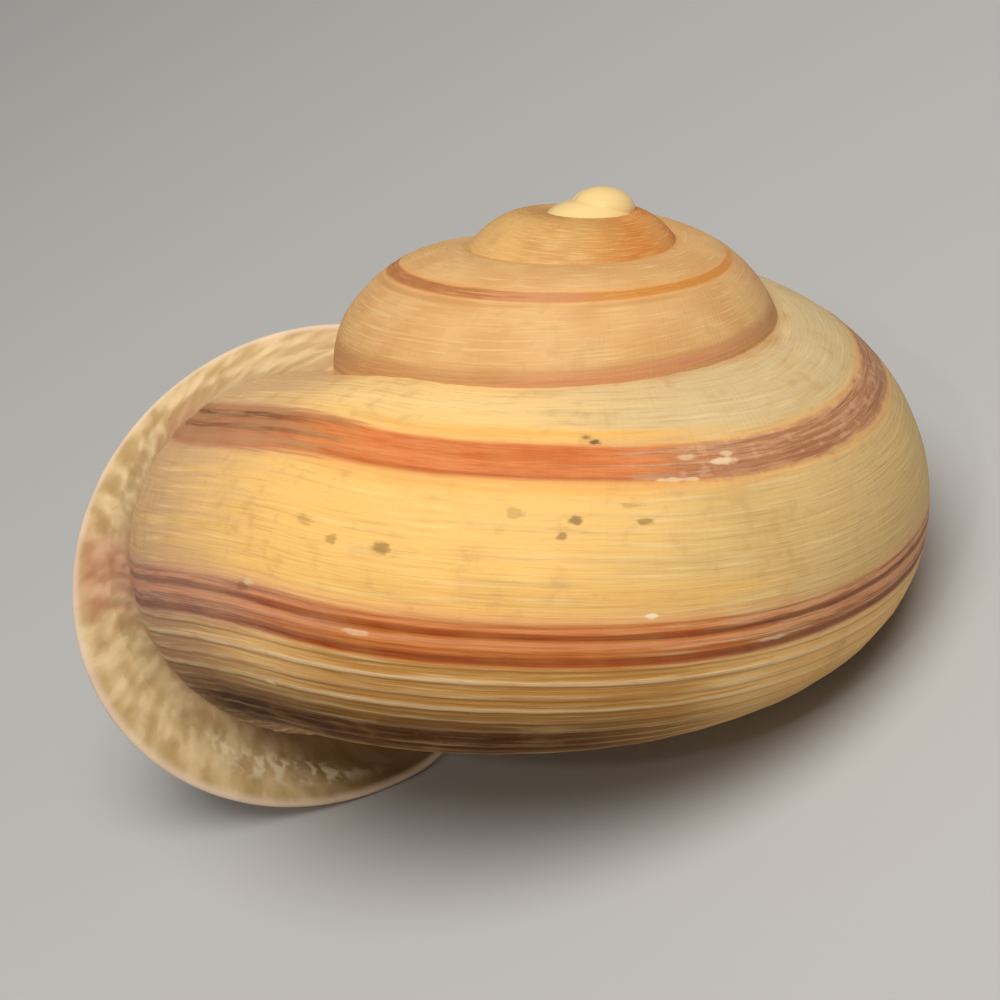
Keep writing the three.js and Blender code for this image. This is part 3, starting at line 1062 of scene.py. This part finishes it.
def base_colour(colour):
    """The underside: tan and brown with pale cords and painted shadow in the grooves below them,
    darkest, with a dark brown band that is partly painted shade, where it starts to turn under.
    """
    under = mix(during(*BASE_BROWN_SPAN), BASE_TAN, BASE_BROWN)
    near_mouth = 1 - step(growth + 40 * fine, *BASE_NEAR_MOUTH_END)
    under = mix(near_mouth * 0.9, under, BASE_NEAR_MOUTH)
    # A darker brown further under, partly painted shade
    frayed = step(-trail + 14 * fine, *DARKER_BASE_AND_SHADE_BELOW) * (1 - step(growth, *DARKER_BASE_AND_SHADE_END))
    under = mix(frayed * 0.3, under, DARKER_BASE_AND_SHADE)
    under = mix(step(thread + fine, 0.6, 1.1) * 0.22, under, THREAD_CREAM)
    # Painted shadow in the groove just below each cord
    groove_shade = band(cord_phase - calc("ROUND", cord_phase), -0.26, 0.06, 0.1)
    under = mix(groove_shade * (0.45 + fine), under, CORD_GROOVE_SHADOW)
    under = mix(step(cord + 1.1 * fine + 0.5 * hair, 0.2, 0.9) * 0.7, under, CORD_CREAM)
    # Painted shade where the whorl turns under, over the shell's own dark brown, fading again
    # further under
    shade = step(-trail + 6 * broad, *BASE_SHADE_DARKENS)
    shade = shade - 0.75 * step(-trail + 16 * broad, *BASE_SHADE_LIGHTENS)
    span = 0.32 + 0.66 * plateau(growth, *DARKEST_SHADE)
    under = mix(shade * span, under, BASAL_BAND_AND_SHADE_BROWN)
    share = step(-trail - wobble, *BASE_EDGE) * (1 - step(growth, *BASE_END))
    return mix(share, colour, under)


def upper_shade(beginning, late, early):
    """The upper band's own colour: brown, then red, mauve, and a thinner tan on the spire."""
    red = mottled(broad + 0.6 * hair, RED, -0.2, 0.24)
    red = mix(line(*UPPER_RED_LINE) * 0.6, red, DEEP_RED)
    mauve = mottled(fine + 0.8 * hair, UPPER_MAUVE)
    mauve = mix(line(*MAUVE_LINE) * 0.5, mauve, DEEP_UPPER_MAUVE)
    mauve = mix(step(fleck + 0.5 * fine, 0.04, 0.2) * 0.4, mauve, UPPER_MAUVE_FLECK)
    brown = mottled(fine + 0.5 * hair, BROWN, -0.2, 0.14)
    brown = mix(lines(BROWN_LINES), brown, DEEP_BROWN)
    spire = mottled(growth + 60 * fine, SPIRE_BAND, *SPIRE_BAND_FADES)
    spire = mix(step(growth + 60 * fine, *SPIRE_BAND_TURNS_ORANGE), spire, SPIRE_BAND_ORANGE)
    spire = mix(step(fine + 0.6 * hair, 0, 0.24) * 0.4, spire, SPIRE_BAND_LIGHT)
    return mix(early, mix(beginning, mix(late, red, mauve), brown), spire)


def upper_band(colour):
    early = step(growth, *UPPER_NARROW_FROM)
    fading = 1 - step(growth, *UPPER_END)
    beginning = 1 - step(growth + 50 * fine, *UPPER_BROWN_END)
    late = step(growth + 50 * fine, *UPPER_MAUVE_FROM) * (1 - early)
    half = UPPER_HALF - UPPER_NARROWING * early + UPPER_WIDENING * beginning
    ragged = wobble * (0.7 + 0.5 * beginning) + fleck * 3.2 * late
    away = absolute(trail + ragged - UPPER_TRACE)
    fringe = (1 - step(away, half, half + 4)) * fading
    colour = mix(fringe * 0.5, colour, mix(beginning, *UPPER_FRINGE))
    torn = step(fine + 0.4 * hair + 0.5 * broad, -0.2, 0.1)
    mask = (1 - step(away, half - 1.1, half + 1.3)) * fading
    mask = mask * mix_number(beginning, 1, torn * 0.45 + 0.55)
    shade = upper_shade(beginning, late, early)
    colour = mix(mask * (0.9 + 0.4 * across), colour, shade)
    shown = during(*SECOND_LINE_SPAN) + during(*SECOND_LINE_AGAIN) * 0.8
    return mix(line(*UPPER_SECOND_LINE) * shown * 0.6, colour, SECOND_LINE_TAN)


def lower_shade(beginning, late):
    """The lower band's own colour, with dark lines and a pale one along it."""
    streaked = fine + 0.6 * hair
    faded = mottled(fine + 0.9 * hair, LOWER_FADED, -0.22, 0.12)
    shade = mix(beginning, mottled(streaked, RUST), mottled(streaked, LOWER_MAUVE))
    shade = mix(late, shade, faded)
    deep = mix(late, mix(beginning, DEEP_RUST, DEEP_MAUVE), DEEP_FADED)
    dark = lines(DEEP_LINES) * (0.9 + 0.9 * fine + 0.5 * broad - 0.3 * beginning)
    return mix(lines(PALE_LINES) * (0.6 + fine), mix(dark, shade, deep), PALE_RUST)


def spire_zone(colour, away, early):
    """The lower band of the spire, a faint brown belt just above the next whorl."""
    zone = mottled(fine + 0.6 * hair, SPIRE_ZONE)
    zone = mix(during(*SPIRE_ZONE_PATCH_SPAN) * line(*ZONE_PATCH_LINE), zone, SPIRE_ZONE_PATCH)
    zone = mix(line(*ZONE_LINE) * (0.4 + fine), zone, SPIRE_ZONE_BROWN)
    share = plateau(away, *SPIRE_ZONE_EDGES) * early * (1 - step(growth, *ZONE_END))
    return mix(share * (0.8 + 1.2 * fine + 0.8 * broad), colour, zone)


def lower_band(colour):
    early = step(growth, *LOWER_ZONE_FROM)
    beginning = 1 - step(growth + 50 * fine, *LOWER_MAUVE_END)
    late = step(growth + 70 * fine, *LOWER_FADED_FROM)
    away = trail + wobble * 0.8 - LOWER_TRACE
    glow = plateau(away, *LOWER_GLOW_EDGES) * (1 - early)
    colour = mix(glow * (0.6 - 0.35 * late), colour, mix(beginning, *LOWER_GLOW))
    mask = plateau(away, *LOWER_EDGES) * (1 - step(growth, *LOWER_END))
    share = mask * (1 - early) * (0.94 + 0.3 * across)
    colour = mix(share, colour, lower_shade(beginning, late))
    return spire_zone(colour, away, early)


# Specks, chips and one painted highlight: growth, trace, half length and half width in degrees,
# depth of colour. The pale spot at growth 106 is a painted glint
SPECKS = [(96, 29.2, 1.1, 1.8, 0.9), (97.2, 27.6, 1.1, 1.1, 0.9), (95.2, 2, 0.9, 1.4, 0.7),
          (93.6, -2.4, 0.8, 1.5, 0.6), (105.2, 1.8, 1.8, 1.0, 0.6), (86.8, 3.6, 1.3, 1.4, 0.3),
          (68.6, -10.2, 1.6, 1.7, 0.6), (61.2, -10, 1.0, 1.3, 0.45), (55.8, -6, 1.5, 1.6, 0.3),
          (103.5, 6.6, 1.6, 0.8, 0.3), (48, -29.6, 1.2, 1.8, 0.45)]
CHIPS_AND_GLINT = [(118.5, 19.2, 2.2, 1.2, 0.65), (120, 21.4, 1.2, 1.0, 0.5), (112.5, 21.5, 1.6, 1.0, 0.4),
         (111, 14.2, 3.2, 0.6, 0.5), (106, -26, 0.75, 0.75, 1), (49, -27.8, 1.2, 0.9, 0.35),
         (67, -35.2, 2.4, 0.8, 0.4), (52.3, -60.5, 0.8, 1.3, 0.6), (124.5, -38.8, 2.0, 0.7, 0.4)]


def spots(colour, rows, tint):
    """Small uneven ovals at the given places."""
    uneven = fleck * 2.6 + hair
    for at, height, long, wide, strength in rows:
        along = calc("POWER", (growth - at) / long, 2)
        upward = calc("POWER", (trail - height) / wide, 2)
        reach = calc("SQRT", along + upward)
        colour = mix((1 - step(reach + uneven, 0.6, 1.3)) * strength, colour, tint)
    return colour


def lip_colour(colour):
    """Khaki cream with short fanned strokes, stained where the bands reach it, with painted shade
    over a brown at its lower end and pale crumbly marks on its lower part.
    """
    back = mottled(leaf + 0.9 * mottle, KHAKI, -0.22, 0.2)
    dark = step(-stroke - 0.4 * leaf - 0.4 * fleck, 0.02, 0.22)
    back = mix(dark * 0.34, back, DARK_KHAKI)
    light = step(stroke + 0.5 * leaf + 0.4 * fleck, 0.04, 0.24)
    back = mix(light * 0.36, back, LIGHT_KHAKI)
    back = mix((1 - step(lip + 0.6 * stroke, *LIP_START_END)) * 0.6, back, LIP_START_TAN)
    slanted = around - (10 * (lip - LIP_AT_MOUTH) + 18 * stroke)
    stain = band(slanted, *LOWER_STAIN_ROUND) * (1 - step(lip, *LOWER_STAIN_END) * 0.7)
    back = mix(stain * 0.75, back, mottled(stroke + 0.6 * leaf, LOWER_STAIN))
    stain = band(slanted, *UPPER_STAIN_ROUND) * (1 - step(lip, *UPPER_STAIN_END))
    back = mix(stain * 0.7, back, UPPER_STAIN)
    # Painted shade over a brown at the lower end of the lip, where it runs under the base
    low = step(-around + 14 * stroke + 44 * (0.42 - lip), *UNDER_LIP_SHADE)
    back = mix(low * (1 - step(lip, *UNDER_LIP_SHADE_END)) * 0.86, back, UNDER_LIP_SHADE_BROWN)
    crumb = lip_noise(0.4, 7.0, 41.0, 1.0) + 0.6 * fleck
    # Pale crumbly marks on the lower part of the lip
    pale_marks = band(-around - 60 * (lip - 0.6), *PALE_MARK_ROUND) * band(lip, *PALE_MARK_OUTWARD)
    back = mix(pale_marks * step(crumb, -0.08, 0.16) * 0.8, back, PALE_MARK)
    back = mix(step(lip, *RIM) * 0.7, back, RIM_CREAM)
    edge = lip + 0.25 * stroke + 0.2 * hair
    covered = step(edge, 0, 0.1) * step(lip, 0, 0.03) * (1 - step(side, *LIP_INTO_THROAT))
    return mix(covered, colour, back)


def inside_colour(colour):
    """Pale and polished inside, with the bands showing through faintly."""
    pale = mottled(growth, INSIDE_CREAM, 0, 120)
    pale = mix(band(trail, UPPER_TRACE, 6.5, 2.5) * 0.4, pale, INSIDE_UPPER_BAND)
    pale = mix(band(trail, LOWER_TRACE, 7.5, 2.5) * 0.5, pale, INSIDE_LOWER_BAND)
    coated = mix(0.5, colour, COAT_CREAM)
    inner = mix(step(side, *ON_COAT), pale, coated)
    return mix(step(side, *INSIDE), colour, inner)


def paint():
    colour = base_colour(ground_colour())
    colour = streaks(colour)
    colour = upper_band(colour)
    colour = lower_band(colour)
    colour = spots(colour, SPECKS, SPECK_BROWN)
    colour = spots(colour, CHIPS_AND_GLINT, CHIP_AND_GLINT_CREAM)
    return inside_colour(lip_colour(colour))


def surface_height():
    """Striae along the spiral, growth lines across it and the lip's ridges, in millimetres."""
    striae = fine * STRIA_HEIGHT + hair * FINE_STRIA_HEIGHT
    striae = striae * (1 - step(growth, *STRIAE_FADE) * 0.6)
    growth_lines = drawn_out(1.1, 0.03, 31.0, 3.0) * GROWTH_LINE_HEIGHT
    rough_part = (1 - step(growth, *POLISHED_TIP)) * (1 - step(side, *INSIDE))
    skin = (striae + growth_lines) * rough_part * (1 - step(lip, *STRIAE_END_ON_LIP))
    ridges = (stroke * STROKE_HEIGHT + leaf * LEAF_HEIGHT) * plateau(lip, *RIDGES_ON_LIP)
    return skin + ridges + grain * GRAIN_HEIGHT


def roughness():
    """Dull outside, dullest on the underside, and polished at the tip and inside."""
    dull = DULL + fine * 0.25 + grain * 0.2 + 0.3 * step(-trail, *DULLEST_BELOW)
    polished = calc("MAXIMUM", step(growth, *POLISHED_TIP), step(side, *INSIDE))
    return mix_number(polished, dull, POLISHED)


bsdf = tree.nodes["Principled BSDF"]
tree.links.new(paint().socket, bsdf.inputs["Base Color"])
tree.links.new(roughness().socket, bsdf.inputs["Roughness"])
bump = node("Bump", {"Height": surface_height(), "Strength": 1.0, "Distance": MM}, "Normal")
tree.links.new(bump.socket, bsdf.inputs["Normal"])
bsdf.inputs["Specular IOR Level"].default_value = SPECULAR_LEVEL

shell = make_shell()
shell.data.materials.clear()
shell.data.materials.append(material)
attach(shell, "root")
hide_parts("shell")


def make_camera():
    data = bpy.data.cameras.new("camera")
    data.lens = CAMERA_LENS
    data.sensor_width = CAMERA_SENSOR
    data.clip_start, data.clip_end = CAMERA_CLIP
    camera = new_object("camera", data)
    camera.location = Vector(CAMERA_AT) * MM
    back = Vector((math.sin(CAMERA_AZIMUTH) * math.cos(CAMERA_ELEVATION),
                   -math.cos(CAMERA_AZIMUTH) * math.cos(CAMERA_ELEVATION),
                   math.sin(CAMERA_ELEVATION)))
    level = (-back).to_track_quat("-Z", "Y").to_matrix()
    camera.rotation_euler = (level @ Matrix.Rotation(-CAMERA_ROLL, 3, "Z")).to_euler()
    bpy.context.scene.camera = camera


def make_floor():
    corners = [(-FLOOR_HALF, -FLOOR_HALF, 0), (FLOOR_HALF, -FLOOR_HALF, 0),
               (FLOOR_HALF, FLOOR_HALF, 0), (-FLOOR_HALF, FLOOR_HALF, 0)]
    mesh = bpy.data.meshes.new("floor")
    mesh.from_pydata(corners, [], [(0, 1, 2, 3)])
    plain = bpy.data.materials.new("floor")
    plain.use_nodes = True
    surface = plain.node_tree.nodes["Principled BSDF"]
    surface.inputs["Base Color"].default_value = FLOOR_COLOUR
    surface.inputs["Roughness"].default_value = FLOOR_ROUGHNESS
    mesh.materials.append(plain)
    return new_object("floor", mesh)


def soft_light(name, at, size, power):
    data = bpy.data.lights.new(name, "AREA")
    data.shape = "DISK"
    data.size = size
    data.energy = power
    light = new_object(name, data)
    light.location = at
    light.rotation_euler = (LIGHTS_AIM - Vector(at)).to_track_quat("-Z", "Y").to_euler()


def make_sky():
    world = bpy.data.worlds.new("studio")
    bpy.context.scene.world = world
    world.use_nodes = True
    background = world.node_tree.nodes["Background"]
    background.inputs["Color"].default_value = SKY_COLOUR
    background.inputs["Strength"].default_value = SKY_STRENGTH


make_camera()
floor = make_floor()
soft_light("key", *KEY_LIGHT)
soft_light("glint", *GLINT_LIGHT)
make_sky()
bpy.context.scene.view_settings.view_transform = "Standard"
